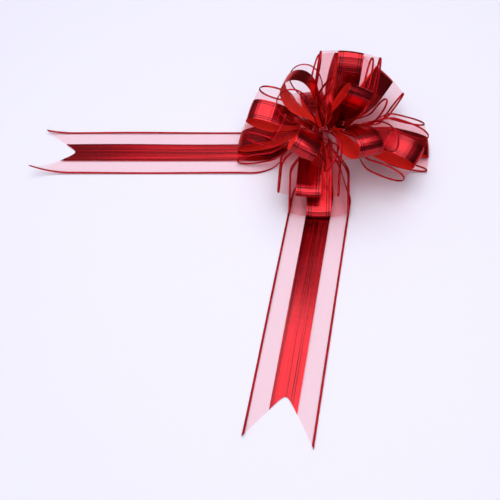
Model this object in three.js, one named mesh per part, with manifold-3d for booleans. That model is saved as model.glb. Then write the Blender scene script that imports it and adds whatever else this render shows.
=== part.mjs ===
// Pre-made gift bow: a pull bow of banded ribbon, gathered on two flat pull strings, with two flat tails.
// Millimetres, +Z up. The origin is on the table, under the middle of the whole bow's box.
import * as THREE from "three";
import { mergeVertices } from "three/addons/utils/BufferGeometryUtils.js";
import Module from "manifold-3d";

// Ribbon: 50 mm wide, pinched to a narrow waist at every weld.
const RIBBON_HALF = 25;
const WAIST_HALF = 5;
const RIBBON_THICK = 0.6;

// The point on the table under the middle of the core. Every piece below is placed from it.
const CORE_AT = [82.5, 100.5];

// Core: the stack of welded waists, held above the table by the loops round it.
const CORE_HEIGHT = 29;
const WAIST_COUNT = 7;
const WAIST_PITCH = 3;
const WAIST_TAB = { thick: 0.8, wide: 6.4, tall: 4 };
const SLOT_SPACING = 2.8;
const STRING = { wide: 1.4, thick: 0.5, clearance: 0.3, overhang: 0.6 };
const KNOT = { long: 2.2, wide: 5, tall: 2.6, gap: 0.3 };

// Loops: every loop starts at its pinch, this far out from the line of the strings.
const PINCH_OFFSET = 6;
// A loop is at its full width at this share of its reach, and its edges reach a little less than its middle.
const FULL_WIDTH_AT = 0.6;
const EDGE_DRAW_IN = 0.05;
const ROUNDNESS = 1.2;
const LOOP_STEPS = 28;
const ACROSS_STEPS = 4;
const PINCH_GAP = 1.1;

// Where each loop's pinch is along the strings, the way it points in degrees (round from +X, and up from
// level), its turn about that way, how far it reaches from the strings, and how wide it stands open.
const LOOPS = {
  loop_left_low: { along: -12, round: 170, up: -22, turn: -3, reach: 70, open: 8.5 },
  loop_left: { along: -11.5, round: 165, up: 7, turn: -13, reach: 58, open: 14.5 },
  loop_upper_left: { along: -6.5, round: 145, up: 52, turn: 24.5, reach: 53.5, open: 24.5 },
  loop_top: { along: 8, round: 71, up: 73, turn: 15, reach: 70, open: 15 },
  loop_top_back: { along: 0, round: 74, up: 29, turn: -16, reach: 69, open: 12 },
  loop_upper_right: { along: 12.5, round: 59, up: 1, turn: 29, reach: 80, open: 14 },
  loop_crown: { along: -0.5, round: 334, up: 65.5, turn: -71, reach: 60, open: 13.5 },
  loop_front_right: { along: 3, round: 291.5, up: 31.5, turn: -6, reach: 77.5, open: 21 },
  loop_front_left: { along: -19, round: 265, up: 33, turn: -27, reach: 80, open: 19.5 },
  loop_near: { along: -12.5, round: 264, up: -3, turn: 1.5, reach: 73, open: 11.5 },
  loop_on_tail: { along: -7, round: 267.5, up: -19, turn: 1.5, reach: 80, open: 7.5 },
  loop_right: { along: 11.5, round: 330, up: 1, turn: 8, reach: 71, open: 15.5 },
  loop_right_back: { along: 19, round: 1, up: -19, turn: 11, reach: 74, open: 8 },
  loop_back: { along: -4, round: 95, up: -20, turn: 1, reach: 79, open: 10.5 },
};

// Tails: flat on the table, with a swallow-tail end, rising to the underside of the core.
const TAIL = { rootHeight: 20, landsAt: 36, wideAt: 50, cross: 3 };
const TAILS = {
  tail_left: { root: [-15, 0], heading: 180, reach: 240, notch: 33 },
  tail_front: { root: [2, -5], heading: 259.5, reach: 273, notch: 38 },
};

const wasm = await Module();
wasm.setup();

// A closed mesh as a solid, so that it can be cut.
function solid(geometry) {
  const bare = geometry.clone();
  bare.deleteAttribute("normal");
  bare.deleteAttribute("uv");
  const merged = mergeVertices(bare, 1e-4);
  return new wasm.Manifold(
    new wasm.Mesh({
      numProp: 3,
      vertProperties: new Float32Array(merged.attributes.position.array),
      triVerts: new Uint32Array(merged.index.array),
    }),
  );
}

// A solid as a geometry again.
function geometryOf(body) {
  const mesh = body.getMesh();
  const geometry = new THREE.BufferGeometry();
  geometry.setAttribute("position", new THREE.BufferAttribute(new Float32Array(mesh.vertProperties), 3));
  geometry.setIndex(new THREE.BufferAttribute(new Uint32Array(mesh.triVerts), 1));
  geometry.computeVertexNormals();
  return geometry;
}

// Eases from 0 to 1.
function ease(value) {
  const part = Math.min(Math.max(value, 0), 1);
  return part * part * (3 - 2 * part);
}

// A strip of ribbon: its side view is a line of [along, up] points given the ribbon's thickness, and it spans
// -1 to 1 across. place(along, up, across) then says where each of its points goes.
function ribbonStrip(line, place, steps) {
  const sides = [1, -1].map((side) =>
    line.map((point, i) => {
      const before = line[Math.max(i - 1, 0)];
      const after = line[Math.min(i + 1, line.length - 1)];
      const run = new THREE.Vector2(after[0] - before[0], after[1] - before[1]).normalize();
      const offset = (side * RIBBON_THICK) / 2;
      return new THREE.Vector2(point[0] - run.y * offset, point[1] + run.x * offset);
    }),
  );
  const outline = new THREE.Shape([...sides[0], ...sides[1].reverse()]);
  const geometry = new THREE.ExtrudeGeometry(outline, { depth: 2, steps, bevelEnabled: false });
  const position = geometry.attributes.position;
  for (let i = 0; i < position.count; i++) {
    const at = place(position.getX(i), position.getY(i), position.getZ(i) - 1);
    position.setXYZ(i, at.x, at.y, at.z);
  }
  return geometry;
}

// The way a loop points, the way its width runs, and the way it opens.
function loopAxes(loop) {
  const round = THREE.MathUtils.degToRad(loop.round);
  const up = THREE.MathUtils.degToRad(loop.up);
  const turn = THREE.MathUtils.degToRad(loop.turn);
  const out = new THREE.Vector3(Math.cos(up) * Math.cos(round), Math.cos(up) * Math.sin(round), Math.sin(up));
  const level = new THREE.Vector3(-Math.sin(round), Math.cos(round), 0);
  const upright = new THREE.Vector3().crossVectors(out, level);
  const across = level.multiplyScalar(Math.cos(turn)).addScaledVector(upright, Math.sin(turn));
  const open = new THREE.Vector3().crossVectors(across, out);
  return { out, across, open };
}

// A loop: a teardrop seen from the side, narrow at its pinch and full width at its round end.
function loopGeometry(loop) {
  const { out, across, open } = loopAxes(loop);
  const pinch = new THREE.Vector3(loop.along, 0, CORE_HEIGHT).addScaledVector(out, PINCH_OFFSET);
  const length = loop.reach - PINCH_OFFSET;
  const swell = (angle) => Math.sin(angle) * Math.sin(angle / 2) ** ROUNDNESS;
  const widest = Math.max(...Array.from({ length: 181 }, (_, i) => swell((i * Math.PI) / 180)));
  const rise = (angle) => (swell(angle) / widest) * (loop.open / 2);
  let first = 0.05;
  while (rise(first) < PINCH_GAP / 2) first += 0.005;
  const line = [];
  for (let i = 0; i <= LOOP_STEPS; i++) {
    const angle = first + ((2 * Math.PI - 2 * first) * i) / LOOP_STEPS;
    const height = angle <= Math.PI ? rise(angle) : -rise(2 * Math.PI - angle);
    line.push([(length * (1 - Math.cos(angle))) / 2, height]);
  }
  const place = (along, up, side) => {
    const share = along / length;
    const half = WAIST_HALF + (RIBBON_HALF - WAIST_HALF) * ease(share / FULL_WIDTH_AT);
    return pinch
      .clone()
      .addScaledVector(out, along * (1 - EDGE_DRAW_IN * side * side * share))
      .addScaledVector(across, half * side)
      .addScaledVector(open, up);
  };
  return ribbonStrip(line, place, ACROSS_STEPS);
}

// A tail: pinched under the core, down to the table, then flat to its notched end.
function tailGeometry(tail) {
  const way = THREE.MathUtils.degToRad(tail.heading);
  const out = new THREE.Vector3(Math.cos(way), Math.sin(way), 0);
  const across = new THREE.Vector3(out.y, -out.x, 0);
  const root = new THREE.Vector3(tail.root[0], tail.root[1], 0);
  const line = [];
  for (let i = 0; i <= 12; i++) {
    const along = (TAIL.landsAt * i) / 12;
    const height = TAIL.rootHeight * (1 - ease(along / TAIL.landsAt));
    line.push([along, height + RIBBON_THICK / 2]);
  }
  line.push([TAIL.wideAt, RIBBON_THICK / 2]);
  line.push([tail.reach - tail.notch - 1, RIBBON_THICK / 2]);
  line.push([tail.reach, RIBBON_THICK / 2]);
  const place = (along, up, side) => {
    const half = WAIST_HALF + (RIBBON_HALF - WAIST_HALF) * ease(along / TAIL.wideAt);
    return root.clone().addScaledVector(out, along).addScaledVector(across, half * side).setZ(up);
  };
  const strip = solid(ribbonStrip(line, place, TAIL.cross));
  const wedge = new THREE.Shape();
  wedge.moveTo(tail.reach - tail.notch, 0);
  wedge.lineTo(tail.reach + 1, -RIBBON_HALF * (1 + 1 / tail.notch));
  wedge.lineTo(tail.reach + 1, RIBBON_HALF * (1 + 1 / tail.notch));
  const cutter = new THREE.ExtrudeGeometry(wedge, { depth: 6, bevelEnabled: false });
  cutter.translate(0, 0, -3);
  cutter.rotateZ(way);
  cutter.translate(tail.root[0], tail.root[1], 0);
  return geometryOf(strip.subtract(solid(cutter)));
}

// A welded waist: a small flat tab across the strings, with a slot for each string.
function waistGeometry(at) {
  const tab = new THREE.BoxGeometry(WAIST_TAB.thick, WAIST_TAB.wide, WAIST_TAB.tall);
  tab.translate(at, 0, CORE_HEIGHT);
  let body = solid(tab);
  for (const side of [-1, 1]) {
    const slot = new THREE.BoxGeometry(
      WAIST_TAB.thick * 3,
      STRING.wide + 2 * STRING.clearance,
      STRING.thick + 2 * STRING.clearance,
    );
    slot.translate(at, (side * SLOT_SPACING) / 2, CORE_HEIGHT);
    body = body.subtract(solid(slot));
  }
  return geometryOf(body);
}

// A pull string: the flat length that runs through the slots of every waist.
function stringGeometry(side) {
  const span = (WAIST_COUNT - 1) * WAIST_PITCH + WAIST_TAB.thick + 2 * STRING.overhang;
  const string = new THREE.BoxGeometry(span, STRING.wide, STRING.thick);
  string.translate(0, (side * SLOT_SPACING) / 2, CORE_HEIGHT);
  return string;
}

// A knot: both strings tied together past the last waist.
function knotGeometry(end) {
  const span = (WAIST_COUNT - 1) * WAIST_PITCH + WAIST_TAB.thick + 2 * STRING.overhang;
  const knot = new THREE.SphereGeometry(1, 14, 8);
  knot.scale(KNOT.long / 2, KNOT.wide / 2, KNOT.tall / 2);
  knot.translate(end * (span / 2 + KNOT.gap + KNOT.long / 2), 0, CORE_HEIGHT);
  return knot;
}

const group = new THREE.Group();

function add(name, geometry, color) {
  geometry.translate(CORE_AT[0], CORE_AT[1], 0);
  const mesh = new THREE.Mesh(geometry, new THREE.MeshStandardMaterial({ color, roughness: 0.5 }));
  mesh.name = name;
  group.add(mesh);
}

for (const [name, loop] of Object.entries(LOOPS)) add(name, loopGeometry(loop), 0xc41e2c);
for (const [name, tail] of Object.entries(TAILS)) add(name, tailGeometry(tail), 0xc41e2c);
for (let i = 0; i < WAIST_COUNT; i++) {
  const at = (i - (WAIST_COUNT - 1) / 2) * WAIST_PITCH;
  add("waist_" + (i + 1), waistGeometry(at), 0x8c1420);
}
for (const [name, side] of [["pull_string_near", -1], ["pull_string_far", 1]]) {
  add(name, stringGeometry(side), 0xb01828);
}
for (const [name, end] of [["knot_left", -1], ["knot_right", 1]]) add(name, knotGeometry(end), 0xb01828);

export default group;
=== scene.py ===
import bpy
import numpy as np
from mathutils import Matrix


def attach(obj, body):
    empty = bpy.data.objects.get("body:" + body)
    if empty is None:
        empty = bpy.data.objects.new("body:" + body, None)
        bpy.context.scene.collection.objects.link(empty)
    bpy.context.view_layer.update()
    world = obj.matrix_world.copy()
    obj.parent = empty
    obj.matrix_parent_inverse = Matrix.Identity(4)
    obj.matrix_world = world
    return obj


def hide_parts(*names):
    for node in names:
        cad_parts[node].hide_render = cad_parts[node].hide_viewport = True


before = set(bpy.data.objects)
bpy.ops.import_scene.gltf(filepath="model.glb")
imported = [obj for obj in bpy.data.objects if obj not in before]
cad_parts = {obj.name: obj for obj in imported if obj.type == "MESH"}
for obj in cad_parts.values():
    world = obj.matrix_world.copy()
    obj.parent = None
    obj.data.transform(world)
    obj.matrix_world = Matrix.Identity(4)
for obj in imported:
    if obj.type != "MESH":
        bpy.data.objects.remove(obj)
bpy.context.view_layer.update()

MM = 0.001

# ---------------------------------------------------------------------------
# The table top and the studio round it. The bow lies on a plain pale sheet under one wide soft lamp, with weaker
# panels in front and behind. The room is darker low down and at the right, and the foil bands mirror all of it.
# ---------------------------------------------------------------------------
# The middle of the bow's core, in metres: the left tail's root is 15 mm to its left.
CORE_X, CORE_Y, CORE_Z = 0.0825, 0.1005, 0.029

eye_data = bpy.data.cameras.new("eye")
eye_data.sensor_width = 36.0
eye_data.lens = 62.3
eye = bpy.data.objects.new("eye", eye_data)
bpy.context.scene.collection.objects.link(eye)
eye.location = (CORE_X - 0.0664, CORE_Y - 0.5282, 0.547)
eye.rotation_euler = (np.radians(37.6), 0.0, 0.0)
bpy.context.scene.camera = eye

scene = bpy.context.scene
scene.view_settings.view_transform = "Standard"
scene.cycles.transparent_max_bounces = 64

FLOOR_HALF = 1.6
floor_mesh = bpy.data.meshes.new("table_top")
floor_mesh.from_pydata(
    [(-FLOOR_HALF, -FLOOR_HALF, -0.0004), (FLOOR_HALF, -FLOOR_HALF, -0.0004),
     (FLOOR_HALF, FLOOR_HALF, -0.0004), (-FLOOR_HALF, FLOOR_HALF, -0.0004)],
    [], [(0, 1, 2, 3)])
floor = bpy.data.objects.new("table_top", floor_mesh)
scene.collection.objects.link(floor)
floor_paint = bpy.data.materials.new("table_paint")
floor_paint.use_nodes = True
floor_shader = floor_paint.node_tree.nodes["Principled BSDF"]
floor_shader.inputs["Base Color"].default_value = (0.83, 0.825, 0.93, 1)
floor_shader.inputs["Roughness"].default_value = 0.75
floor_shader.inputs["Specular IOR Level"].default_value = 0.15
floor_mesh.materials.append(floor_paint)


def soft_lamp(name, place, aim, size, power, tint):
    """A rectangular lamp of the given size at place, facing aim."""
    data = bpy.data.lights.new(name, "AREA")
    data.shape = "RECTANGLE"
    data.size, data.size_y = size
    data.energy = power
    data.color = tint
    lamp = bpy.data.objects.new(name, data)
    scene.collection.objects.link(lamp)
    lamp.location = place
    away = np.array(place) - np.array(aim)
    flat = np.hypot(away[0], away[1])
    lamp.rotation_euler = (np.arctan2(flat, away[2]), 0.0, np.arctan2(away[1], away[0]) + np.pi / 2)


soft_lamp("lamp_over", (0.05, 0.1, 1.3), (0.05, 0.099, 0), (1.25, 1.55), 17.0, (1.0, 0.99, 1.0))
soft_lamp("lamp_front", (0.15, -1.6, 1.2), (0.05, 0.0, 0.0), (1.5, 0.7), 5.0, (1.0, 0.98, 1.0))
soft_lamp("lamp_back", (0.15, 1.9, 1.5), (0.1, 0.0, 0.0), (0.9, 0.7), 1.4, (1.0, 0.99, 1.0))

room = bpy.data.worlds.new("room")
scene.world = room
room.use_nodes = True
room_nodes, room_links = room.node_tree.nodes, room.node_tree.links
room_shade = room_nodes["Background"]
room_look = room_nodes.new("ShaderNodeTexCoord")
room_lean = room_nodes.new("ShaderNodeVectorMath")
room_lean.operation = "DOT_PRODUCT"
room_lean.inputs[1].default_value = (-0.5, -0.15, 0.85)
room_ramp = room_nodes.new("ShaderNodeValToRGB")
room_links.new(room_look.outputs["Generated"], room_lean.inputs[0])
room_links.new(room_lean.outputs["Value"], room_ramp.inputs["Fac"])
room_links.new(room_ramp.outputs["Color"], room_shade.inputs["Color"])
room_ramp.color_ramp.elements[0].position = 0.15
room_ramp.color_ramp.elements[0].color = (0.09, 0.089, 0.096, 1)
room_ramp.color_ramp.elements[1].position = 0.85
room_ramp.color_ramp.elements[1].color = (0.50, 0.495, 0.54, 1)
room_shade.inputs["Strength"].default_value = 0.9

# ---------------------------------------------------------------------------
# The loops. Each is a stretch of banded ribbon between two welds, folded back on itself and pinched to a few
# millimetres at the weld. The ribbon is 50 mm of red sheer with a 20 mm foil band along its middle, foil on the
# outside and flat red inside, and a thin foil stripe along each edge. The weld's pinch leaves small pleats.
# ---------------------------------------------------------------------------
RIBBON_HALF = 25.0
BAND_HALF = 10.0
STRIPE = 1.7
WAIST_HALF = 6.0
PINCH_OFFSET = 6.0
FULL_WIDTH_AT = 0.5
EDGE_DRAW_IN = 0.05
ROUNDNESS = 1.2

# Where the columns of the mesh lie across the ribbon, in millimetres from its middle, and how far each stands off
# the ribbon's face. The edge stripe is a flat cord: over the top, round the edge and back underneath.
half_columns = np.array([1.25, 2.5, 3.75, 5, 6.25, 7.5, 8.75, BAND_HALF, 11.5, 13, 14.5, 16, 17.5, 19, 20.5, 22,
                         RIBBON_HALF - STRIPE, RIBBON_HALF - 1.6, RIBBON_HALF - 0.9, RIBBON_HALF - 0.2, RIBBON_HALF,
                         RIBBON_HALF - 0.2, RIBBON_HALF - 0.9, RIBBON_HALF - 1.6])
half_stand = np.concatenate([np.zeros(17), [0.36, 0.55, 0.36, 0.0, -0.36, -0.55, -0.36]])
COLUMNS = np.concatenate([-half_columns[::-1], [0.0], half_columns])
STAND_OFF = np.concatenate([half_stand[::-1], [0.0], half_stand])


def ease(value):
    """0 below 0, 1 above 1, and three times the square less twice the cube between."""
    part = np.clip(value, 0.0, 1.0)
    return part * part * (3 - 2 * part)


def plain_material(name):
    """A new material, its node tree, its shader, and its ribbon coordinates in millimetres as x and y."""
    material = bpy.data.materials.new(name)
    material.use_nodes = True
    nodes, links = material.node_tree.nodes, material.node_tree.links
    shader = nodes["Principled BSDF"]
    coordinates = nodes.new("ShaderNodeTexCoord")
    split = nodes.new("ShaderNodeSeparateXYZ")
    links.new(coordinates.outputs["UV"], split.inputs[0])
    return material, nodes, links, shader, split


def math(nodes, links, operation, *values):
    """A Math node on numbers and sockets."""
    node = nodes.new("ShaderNodeMath")
    node.operation = operation
    for i, value in enumerate(values):
        if isinstance(value, (int, float)):
            node.inputs[i].default_value = value
        else:
            links.new(value, node.inputs[i])
    return node.outputs[0]


def mixed(nodes, links, share, first, second):
    """A colour between first and second, by a socket from 0 to 1."""
    node = nodes.new("ShaderNodeMix")
    node.data_type = "RGBA"
    links.new(share, node.inputs["Factor"])
    for place, value in ((6, first), (7, second)):
        if isinstance(value, tuple):
            node.inputs[place].default_value = (*value, 1)
        else:
            links.new(value, node.inputs[place])
    return node.outputs[2]


def noise_along(nodes, links, split, scale_across, scale_along, detail=2.0):
    """Noise over the ribbon, with its own scale across and along it."""
    join = nodes.new("ShaderNodeCombineXYZ")
    links.new(math(nodes, links, "MULTIPLY", split.outputs["X"], scale_across), join.inputs[0])
    links.new(math(nodes, links, "MULTIPLY", split.outputs["Y"], scale_along), join.inputs[1])
    noise = nodes.new("ShaderNodeTexNoise")
    noise.inputs["Scale"].default_value = 1.0
    noise.inputs["Detail"].default_value = detail
    links.new(join.outputs[0], noise.inputs["Vector"])
    return noise.outputs["Fac"]


def bumped(nodes, links, shader, height, strength, distance):
    """Puts a bump of this height on the shader."""
    bump = nodes.new("ShaderNodeBump")
    bump.inputs["Strength"].default_value = strength
    bump.inputs["Distance"].default_value = distance
    links.new(height, bump.inputs["Height"])
    links.new(bump.outputs[0], shader.inputs["Normal"])


def groove(nodes, links, across, at, wide):
    """1 on two lines, this far each side of the middle, and 0 elsewhere."""
    off = math(nodes, links, "ABSOLUTE", math(nodes, links, "SUBTRACT", math(nodes, links, "ABSOLUTE", across), at))
    return math(nodes, links, "LESS_THAN", off, wide)


# The band's outside: red metal foil on satin, with fine woven ridges along it, two pairs of pressed lines with
# painted shade in them, soft waves across it where it has been bent, and streaks along it where it has been
# creased. Painted shade also darkens the streaks, a fold line near the middle and a strip along one side.
def foil_material(name, waves, creases, lean_from=0.0):
    """Foil with waves across the ribbon and creases along it, each by its own amount. With lean_from, it leans to
    one side, most at that many millimetres along and not at all 200 mm further on."""
    foil, n, l, shader, uv = plain_material(name)
    shader.inputs["Metallic"].default_value = 0.96
    shader.inputs["Roughness"].default_value = 0.2
    shader.inputs["Specular Tint"].default_value = (1.0, 0.10, 0.13, 1)
    shader.inputs["Coat Weight"].default_value = 0.25
    shader.inputs["Coat Roughness"].default_value = 0.12
    across = uv.outputs["X"]
    # The two pairs of pressed lines: a dent in the bump, and painted shade, near-black, in their colour; the waves
    # set how much.
    lines = math(n, l, "MAXIMUM", groove(n, l, across, 8.2, 0.42), groove(n, l, across, 6.3, 0.36))
    ripple = math(n, l, "ADD", noise_along(n, l, uv, 0.01, 0.16, 1.5),
                  math(n, l, "MULTIPLY", noise_along(n, l, uv, 0.008, 0.8, 1.5), 0.34))
    lines = math(n, l, "MULTIPLY", lines, waves)
    streak = noise_along(n, l, uv, 0.30, 0.005, 1.2)
    wander = math(n, l, "MULTIPLY", math(n, l, "SUBTRACT", noise_along(n, l, uv, 0.0, 0.012, 1.0), 0.5), 5.0)
    # One sharp fold runs close to the middle, darkened along its line by painted shade, and a strip along one side
    # and the crease streaks are darkened by painted shade as well; the creases set how much of both.
    fold = math(n, l, "ABSOLUTE", math(n, l, "ADD", across, math(n, l, "ADD", wander, 0.4)))
    painted_fold_shade = math(n, l, "LESS_THAN", fold, 0.24 * creases)
    edge = math(n, l, "GREATER_THAN", math(n, l, "ADD", across, wander), 7.8)
    painted_side_and_streak_shade = math(n, l, "MULTIPLY", math(n, l, "ADD", edge, streak), 0.42 * creases)
    threads = math(n, l, "SINE", math(n, l, "MULTIPLY", across, 2 * np.pi / 0.42))
    grain = noise_along(n, l, uv, 1.6, 0.05, 3.0)
    tone = mixed(n, l, grain, (0.38, 0.007, 0.013), (0.50, 0.013, 0.022))
    # Painted shade: the pressed lines, the fold and the side strip with its streaks all take a near-black red in
    # place of the foil's tone.
    painted_shade = math(n, l, "MAXIMUM", math(n, l, "MAXIMUM", lines, painted_side_and_streak_shade), math(n, l, "MULTIPLY", painted_fold_shade, 0.8))
    l.new(mixed(n, l, painted_shade, tone, (0.09, 0.001, 0.004)), shader.inputs["Base Color"])
    height = math(n, l, "ADD", math(n, l, "MULTIPLY", ripple, 1.9 * waves), math(n, l, "MULTIPLY", threads, 0.012))
    height = math(n, l, "ADD", height, math(n, l, "MULTIPLY", streak, 3.0 * creases))
    if lean_from:
        near = math(n, l, "DIVIDE", math(n, l, "SUBTRACT", lean_from + 200.0, uv.outputs["Y"]), 200.0)
        near = math(n, l, "MAXIMUM", near, 0.0)
        height = math(n, l, "ADD", height, math(n, l, "MULTIPLY", math(n, l, "MULTIPLY", across, near), 0.34))
    height = math(n, l, "SUBTRACT", height, math(n, l, "MULTIPLY", lines, 0.25))
    bumped(n, l, shader, height, 0.6, 0.0006)
    return foil


foil = foil_material("ribbon_foil", 1.0, 0.07)

# The band's inside: the plain woven back of the satin, flat red with a fine cross rib.
backing, n, l, shader, uv = plain_material("ribbon_backing")
shader.inputs["Roughness"].default_value = 0.6
shader.inputs["Specular IOR Level"].default_value = 0.25
ribs = math(n, l, "SINE", math(n, l, "MULTIPLY", uv.outputs["Y"], 2 * np.pi / 0.5))
threads = math(n, l, "SINE", math(n, l, "MULTIPLY", uv.outputs["X"], 2 * np.pi / 0.42))
patches = noise_along(n, l, uv, 0.5, 0.04, 3.0)
l.new(mixed(n, l, patches, (0.80, 0.014, 0.007), (0.95, 0.032, 0.015)), shader.inputs["Base Color"])
bumped(n, l, shader, math(n, l, "ADD", ribs, threads), 0.35, 0.0001)

# The sheer: red organza, open enough to see through, its threads crossing at a fine pitch. Its threads are clear
# red plastic, so what shows through it is tinted as well as covered, and more so where it is gathered.
sheer, n, l, shader, uv = plain_material("ribbon_sheer")
shader.inputs["Roughness"].default_value = 0.5
shader.inputs["Specular IOR Level"].default_value = 0.35
warp = math(n, l, "SINE", math(n, l, "MULTIPLY", uv.outputs["X"], 2 * np.pi / 0.62))
weft = math(n, l, "SINE", math(n, l, "MULTIPLY", uv.outputs["Y"], 2 * np.pi / 0.74))
slub = noise_along(n, l, uv, 1.1, 0.03, 3.0)
weave = math(n, l, "ADD", math(n, l, "MULTIPLY", warp, 0.025), math(n, l, "MULTIPLY", weft, 0.02))
cover = math(n, l, "ADD", weave, math(n, l, "MULTIPLY", slub, 0.07))
gather = n.new("ShaderNodeAttribute")
gather.attribute_name = "gather"
thick = gather.outputs["Fac"]
between = math(n, l, "POWER", math(n, l, "SUBTRACT", 1.0, math(n, l, "ADD", cover, 0.02)), thick)
# The threads pass some light on to what is below them, so a shadow is weaker than the cover alone would make it.
ray = n.new("ShaderNodeLightPath")
passed = math(n, l, "MULTIPLY", ray.outputs["Is Shadow Ray"], 0.7)
freed = math(n, l, "MULTIPLY", math(n, l, "SUBTRACT", 1.0, between), passed)
between = math(n, l, "ADD", between, freed)
tint = n.new("ShaderNodeCombineColor")
tint.inputs[0].default_value = 1.0
l.new(math(n, l, "POWER", 0.895, thick), tint.inputs[1])
l.new(math(n, l, "POWER", 0.904, thick), tint.inputs[2])
l.new(mixed(n, l, slub, (0.95, 0.018, 0.020), (1.0, 0.045, 0.045)), shader.inputs["Base Color"])
bumped(n, l, shader, math(n, l, "ADD", warp, weft), 0.3, 0.0001)
# The threads glow with light from behind as much as with light from in front.
glow = n.new("ShaderNodeBsdfTranslucent")
glow.inputs[0].default_value = (1.0, 0.055, 0.040, 1)
lit = n.new("ShaderNodeMixShader")
lit.inputs[0].default_value = 0.5
l.new(shader.outputs[0], lit.inputs[1])
l.new(glow.outputs[0], lit.inputs[2])
clear = n.new("ShaderNodeBsdfTransparent")
l.new(tint.outputs[0], clear.inputs[0])
mesh_mix = n.new("ShaderNodeMixShader")
l.new(between, mesh_mix.inputs[0])
l.new(lit.outputs[0], mesh_mix.inputs[1])
l.new(clear.outputs[0], mesh_mix.inputs[2])
l.new(mesh_mix.outputs[0], n["Material Output"].inputs[0])

# The edge stripes: a thin cord of darker foil woven into each edge.
stripe, n, l, shader, uv = plain_material("ribbon_edge")
shader.inputs["Metallic"].default_value = 0.92
shader.inputs["Roughness"].default_value = 0.25
shader.inputs["Specular Tint"].default_value = (1.0, 0.12, 0.15, 1)
slant = math(n, l, "ADD", uv.outputs["Y"], uv.outputs["X"])
twist = math(n, l, "SINE", math(n, l, "MULTIPLY", slant, 2 * np.pi / 0.8))
patches = noise_along(n, l, uv, 0.2, 0.09, 2.0)
l.new(mixed(n, l, patches, (0.26, 0.003, 0.008), (0.70, 0.016, 0.030)), shader.inputs["Base Color"])
bumped(n, l, shader, twist, 0.4, 0.00015)

# How far the band's back lies inside the foil, in metres.
BACKING_GAP = 0.00016


def ribbon_piece(name, points, along, outside=foil):
    """A ribbon from a grid of points in metres, rows along it and COLUMNS across. The foil, sheer and edge faces
    are one sheet that faces outwards, and a second strip a little inside the foil, facing the other way, is the
    band's back. The edge cords are as much thinner as the row is narrower. The UV map holds millimetres across and
    along, and the attribute holds how many times narrower than its full width the ribbon is at each row."""
    rows, columns = points.shape[:2]
    index = np.arange(rows * columns).reshape(rows, columns)
    run = np.gradient(points, axis=0)
    steps = np.diff(points, axis=1) * np.sign(np.diff(COLUMNS))[None, :, None]
    side = np.concatenate([steps[:, :1], (steps[:, :-1] + steps[:, 1:]) / 2, steps[:, -1:]], axis=1)
    normal = np.cross(side, run)
    normal /= np.maximum(np.linalg.norm(normal, axis=2, keepdims=True), 1e-12)
    fullness = np.linalg.norm(points[:, -8] - points[:, 7], axis=1) / (2 * RIBBON_HALF * MM)
    points = points + normal * STAND_OFF[None, :, None] * fullness[:, None, None] * MM
    quads = np.stack([index[:-1, :-1], index[:-1, 1:], index[1:, 1:], index[1:, :-1]], axis=-1)
    middle = (COLUMNS[:-1] + COLUMNS[1:]) / 2
    kind = np.where(abs(middle) < BAND_HALF, 0, np.where(abs(middle) > RIBBON_HALF - STRIPE, 3, 2))
    kinds = np.broadcast_to(kind, quads.shape[:2])
    band = np.where(abs(COLUMNS) <= BAND_HALF)[0]
    top = np.where(STAND_OFF >= 0)[0]
    back_points = (points - normal * BACKING_GAP)[:, band[0]:band[-1] + 1]
    back_index = np.arange(rows * len(band)).reshape(rows, len(band)) + rows * columns
    back = np.stack([back_index[:-1, :-1], back_index[1:, :-1], back_index[1:, 1:], back_index[:-1, 1:]], axis=-1)
    vertices = np.concatenate([points.reshape(-1, 3), back_points.reshape(-1, 3)])
    faces = np.concatenate([quads.reshape(-1, 4), back.reshape(-1, 4)])
    mesh = bpy.data.meshes.new(name)
    mesh.from_pydata(vertices.tolist(), [], faces.tolist())
    slots = np.concatenate([kinds.reshape(-1), np.full(back.shape[0] * back.shape[1], 1)]).astype(np.int32)
    for material in (outside, backing, sheer, stripe):
        mesh.materials.append(material)
    mesh.polygons.foreach_set("material_index", slots)
    mesh.polygons.foreach_set("use_smooth", np.ones(len(faces), bool))
    across_mm = np.broadcast_to(COLUMNS, (rows, columns))
    along_mm = np.broadcast_to(along, (rows, columns))
    u = np.concatenate([across_mm.reshape(-1), across_mm[:, band[0]:band[-1] + 1].reshape(-1)])
    v = np.concatenate([along_mm.reshape(-1), along_mm[:, band[0]:band[-1] + 1].reshape(-1)])
    layer = mesh.uv_layers.new(name="ribbon_mm")
    corner = np.zeros(len(mesh.loops), np.int32)
    mesh.loops.foreach_get("vertex_index", corner)
    layer.data.foreach_set("uv", np.stack([u[corner], v[corner]], axis=1).reshape(-1).astype(np.float32))
    span = np.linalg.norm(np.diff(points[:, top], axis=1), axis=2).sum(axis=1) / MM
    narrow = np.broadcast_to((2 * RIBBON_HALF / np.minimum(span, 2 * RIBBON_HALF))[:, None], (rows, columns))
    narrow = np.concatenate([narrow.reshape(-1), narrow[:, band[0]:band[-1] + 1].reshape(-1)])
    mesh.attributes.new("gather", "FLOAT", "POINT").data.foreach_set("value", narrow.astype(np.float32))
    mesh.update()
    piece = bpy.data.objects.new(name, mesh)
    scene.collection.objects.link(piece)
    return piece


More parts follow.
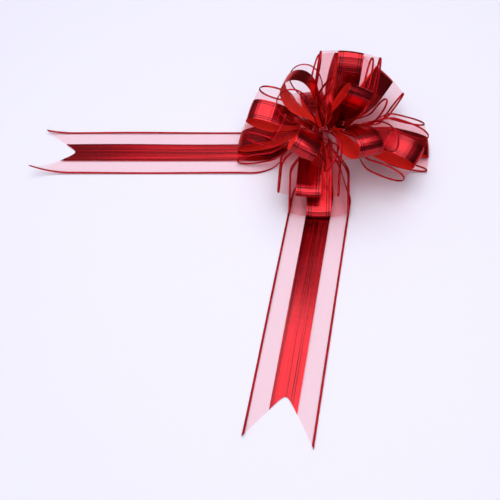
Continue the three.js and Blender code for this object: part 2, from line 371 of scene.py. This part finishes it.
# Each loop: where its pinch is along the strings, the way it points round and up in degrees, its turn about that
# way, its reach from the strings, and how wide it stands open. Lengths are in millimetres.
LOOPS = {
    "loop_left_low": (-12, 170, -22, -3, 70, 10),
    "loop_left": (-11.5, 165, 7, -13, 58, 15.5),
    "loop_upper_left": (-6.5, 145, 52, 24.5, 53.5, 26.5),
    "loop_top": (8, 71, 73, 15, 70, 16),
    "loop_top_back": (0, 74, 29, -16, 69, 12),
    "loop_upper_right": (12.5, 59, 1, 29, 80, 14),
    "loop_crown": (-0.5, 334, 65.5, -71, 60, 15),
    "loop_front_right": (3, 291.5, 31.5, -6, 77.5, 22.5),
    "loop_front_left": (-19, 265, 33, -27, 80, 20.5),
    "loop_near": (-12.5, 264, -3, 1.5, 73, 12.5),
    "loop_on_tail": (-7, 267.5, -19, 1.5, 80, 7.5),
    "loop_right": (11.5, 330, 1, 8, 71, 16.5),
    "loop_right_back": (19, 1, -19, 11, 74, 8),
    "loop_back": (-4, 95, -20, 1, 79, 10.5),
}
LOOP_ROWS = 97
# The pleats at the pinch: how deep, how many half waves each side of the middle, and where they end. The ends of a
# loop are tucked this far into the weld.
PLEAT_DEEP = 2.2
PLEATS = 2.5
PLEATS_END = 0.5
TUCK_IN = 4.0


def loop_points(along, round_deg, up_deg, turn_deg, reach, open_mm):
    """A teardrop: as an angle goes round once, the reach follows half of one less its cosine, and the opening
    follows its sine times the 1.2th power of the sine of half of it. The width eases from the pinch to full,
    the edges reach a little less than the middle, and pleats die away from the pinch."""
    turn, rise, spin = np.radians([round_deg, up_deg, turn_deg])
    out = np.array([np.cos(rise) * np.cos(turn), np.cos(rise) * np.sin(turn), np.sin(rise)])
    level = np.array([-np.sin(turn), np.cos(turn), 0.0])
    upright = np.cross(out, level)
    side = level * np.cos(spin) + upright * np.sin(spin)
    opens = np.cross(side, out)
    pinch = np.array([along, 0, 0]) + out * PINCH_OFFSET
    length = reach - PINCH_OFFSET
    angle = np.linspace(0.0, 2 * np.pi, LOOP_ROWS)
    swell = np.sin(angle) * np.sin(angle / 2) ** ROUNDNESS
    height = swell / abs(swell).max() * open_mm / 2
    first = np.where(angle <= np.pi, 1.0, -1.0) * 0.45
    height = height + first * (1 - ease((1 - np.cos(angle)) / 2 / 0.3))
    share = (1 - np.cos(angle)) / 2
    far = length * share - TUCK_IN * (1 - ease(share / 0.2))
    t = COLUMNS / RIBBON_HALF
    half = WAIST_HALF + (RIBBON_HALF - WAIST_HALF) * ease(share / FULL_WIDTH_AT)
    pleat = PLEAT_DEEP * (1 - ease(share / PLEATS_END))[:, None] * np.cos(np.pi * PLEATS * t)[None, :]
    w = half[:, None] * t[None, :]
    up = height[:, None] + pleat
    x = far[:, None] * (1 - EDGE_DRAW_IN * share[:, None] * t[None, :] ** 2)
    points = pinch + x[..., None] * out + w[..., None] * side + up[..., None] * opens
    middle = points[:, len(COLUMNS) // 2]
    travelled = np.concatenate([[0], np.cumsum(np.linalg.norm(np.diff(middle, axis=0), axis=1))])
    return points * MM + np.array([CORE_X, CORE_Y, CORE_Z]), travelled[:, None]


# Each loop takes its own stretch of the foil's noise, 173 mm on from the one before.
for order, (name, values) in enumerate(LOOPS.items()):
    points, travelled = loop_points(*values)
    loop = ribbon_piece(name.replace("loop_", "ribbon_loop_"), points, travelled + 173.0 * order)
    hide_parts(name)
    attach(loop, name)

# ---------------------------------------------------------------------------
# The tails. Each is the ribbon's end: pinched under the core, down to the table, then flat, with a swallow-tail
# cut. The foil has a few soft lengthwise creases from lying folded in its pack, with painted shade along them.
# ---------------------------------------------------------------------------
# Each tail: its root from the core, the way it runs in degrees, its reach, the depth of its cut, how much longer
# one side is, and how high its two tips curl. Lengths are in millimetres.
TAILS = {
    "tail_left": ((-15, 0), 180, 235.5, 36, -3.5, (8.0, 4.5)),
    "tail_front": ((2, -5), 259.5, 273, 41, 0.0, (0.8, 1.2)),
}
ROOT_HEIGHT, LANDS_AT, WIDE_AT = 20.0, 36.0, 50.0
TAIL_ROWS = 260
NOTCH_ROUND = 0.12
CURL_LENGTH = 30.0

# The foil of a tail: hardly bent across, creased along, with painted shade along its fold and one side, faint on
# the left tail and full on the front one. The left one leans as it comes to the bow. Each tail takes its own
# stretch of the foil's noise.
LEFT_START, FRONT_START = 6220.0, 6531.0
tail_foils = {
    "tail_left": (LEFT_START, foil_material("ribbon_foil_left_tail", 0.08, 0.3, LEFT_START)),
    "tail_front": (FRONT_START, foil_material("ribbon_foil_front_tail", 0.08, 1.0)),
}


def tail_points(root, heading, reach, notch, skew, curl):
    """A strip along its heading: it comes down by an eased step, then lies flat with a slight ripple, and each
    column ends where the swallow-tail cut crosses it, so the rows slant towards the end."""
    way = np.radians(heading)
    out = np.array([np.cos(way), np.sin(way), 0.0])
    side = np.array([out[1], -out[0], 0.0])
    t = COLUMNS / RIBBON_HALF
    share = np.linspace(0, 1, TAIL_ROWS)[:, None]
    cut = np.sqrt(t * t + NOTCH_ROUND ** 2) / np.sqrt(1 + NOTCH_ROUND ** 2)
    end = reach + skew * t[None, :] - notch * (1 - cut)[None, :]
    far = share * end
    height = ROOT_HEIGHT * (1 - ease(far / LANDS_AT)) + 0.35
    flat = ease((far - LANDS_AT) / 30.0)
    ripple = 0.35 * flat * (1 + np.sin(far / 23.0 + 1.3 * t[None, :]))
    half = WAIST_HALF + (RIBBON_HALF - WAIST_HALF) * ease(far / WIDE_AT)
    pleat = PLEAT_DEEP * (1 - ease(far / 30.0)) * np.cos(np.pi * PLEATS * t)[None, :]
    lift = np.where(t < 0, curl[0], curl[1])[None, :] * abs(t)[None, :] ** 1.5
    lift = lift * np.clip((far - reach + CURL_LENGTH) / CURL_LENGTH, 0, None) ** 2
    w = half * t[None, :]
    root = np.array([root[0], root[1], 0.0])
    points = root + far[..., None] * out + w[..., None] * side
    points[..., 2] = height + ripple + pleat + lift
    points = points * MM + np.array([CORE_X, CORE_Y, 0.0])
    return points, far


for name, values in TAILS.items():
    points, travelled = tail_points(*values)
    start, outside = tail_foils[name]
    tail = ribbon_piece("ribbon_" + name, points, travelled + start, outside)
    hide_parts(name)
    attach(tail, name)

# ---------------------------------------------------------------------------
# The welds, the pull strings and their knots. The welds are ribbon fused into small hard tabs; the strings are
# flat glossy plastic ribbon 1.4 mm wide, knotted together past the last weld at each end.
# ---------------------------------------------------------------------------
weld = bpy.data.materials.new("weld_plastic")
weld.use_nodes = True
n, l = weld.node_tree.nodes, weld.node_tree.links
shader = n["Principled BSDF"]
shader.inputs["Roughness"].default_value = 0.6
shader.inputs["Specular IOR Level"].default_value = 0.2
place = n.new("ShaderNodeTexCoord")
mottle = n.new("ShaderNodeTexNoise")
mottle.inputs["Scale"].default_value = 900.0
l.new(place.outputs["Object"], mottle.inputs["Vector"])
l.new(mixed(n, l, mottle.outputs["Fac"], (0.42, 0.006, 0.012), (0.62, 0.014, 0.02)), shader.inputs["Base Color"])
bumped(n, l, shader, mottle.outputs["Fac"], 0.5, 0.0002)

string_foil = bpy.data.materials.new("string_plastic")
string_foil.use_nodes = True
n, l = string_foil.node_tree.nodes, string_foil.node_tree.links
shader = n["Principled BSDF"]
shader.inputs["Roughness"].default_value = 0.28
place = n.new("ShaderNodeTexCoord")
streaks = n.new("ShaderNodeTexNoise")
streaks.inputs["Scale"].default_value = 700.0
stretch = n.new("ShaderNodeMapping")
stretch.inputs["Scale"].default_value = (0.1, 1.0, 1.0)
l.new(place.outputs["Object"], stretch.inputs["Vector"])
l.new(stretch.outputs[0], streaks.inputs["Vector"])
l.new(mixed(n, l, streaks.outputs["Fac"], (0.45, 0.006, 0.02), (0.75, 0.03, 0.06)), shader.inputs["Base Color"])
bumped(n, l, shader, streaks.outputs["Fac"], 0.3, 0.0001)

for name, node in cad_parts.items():
    if name.startswith("waist_"):
        node.data.materials.clear()
        node.data.materials.append(weld)
    elif name.startswith(("pull_string", "knot")):
        node.data.materials.clear()
        node.data.materials.append(string_foil)
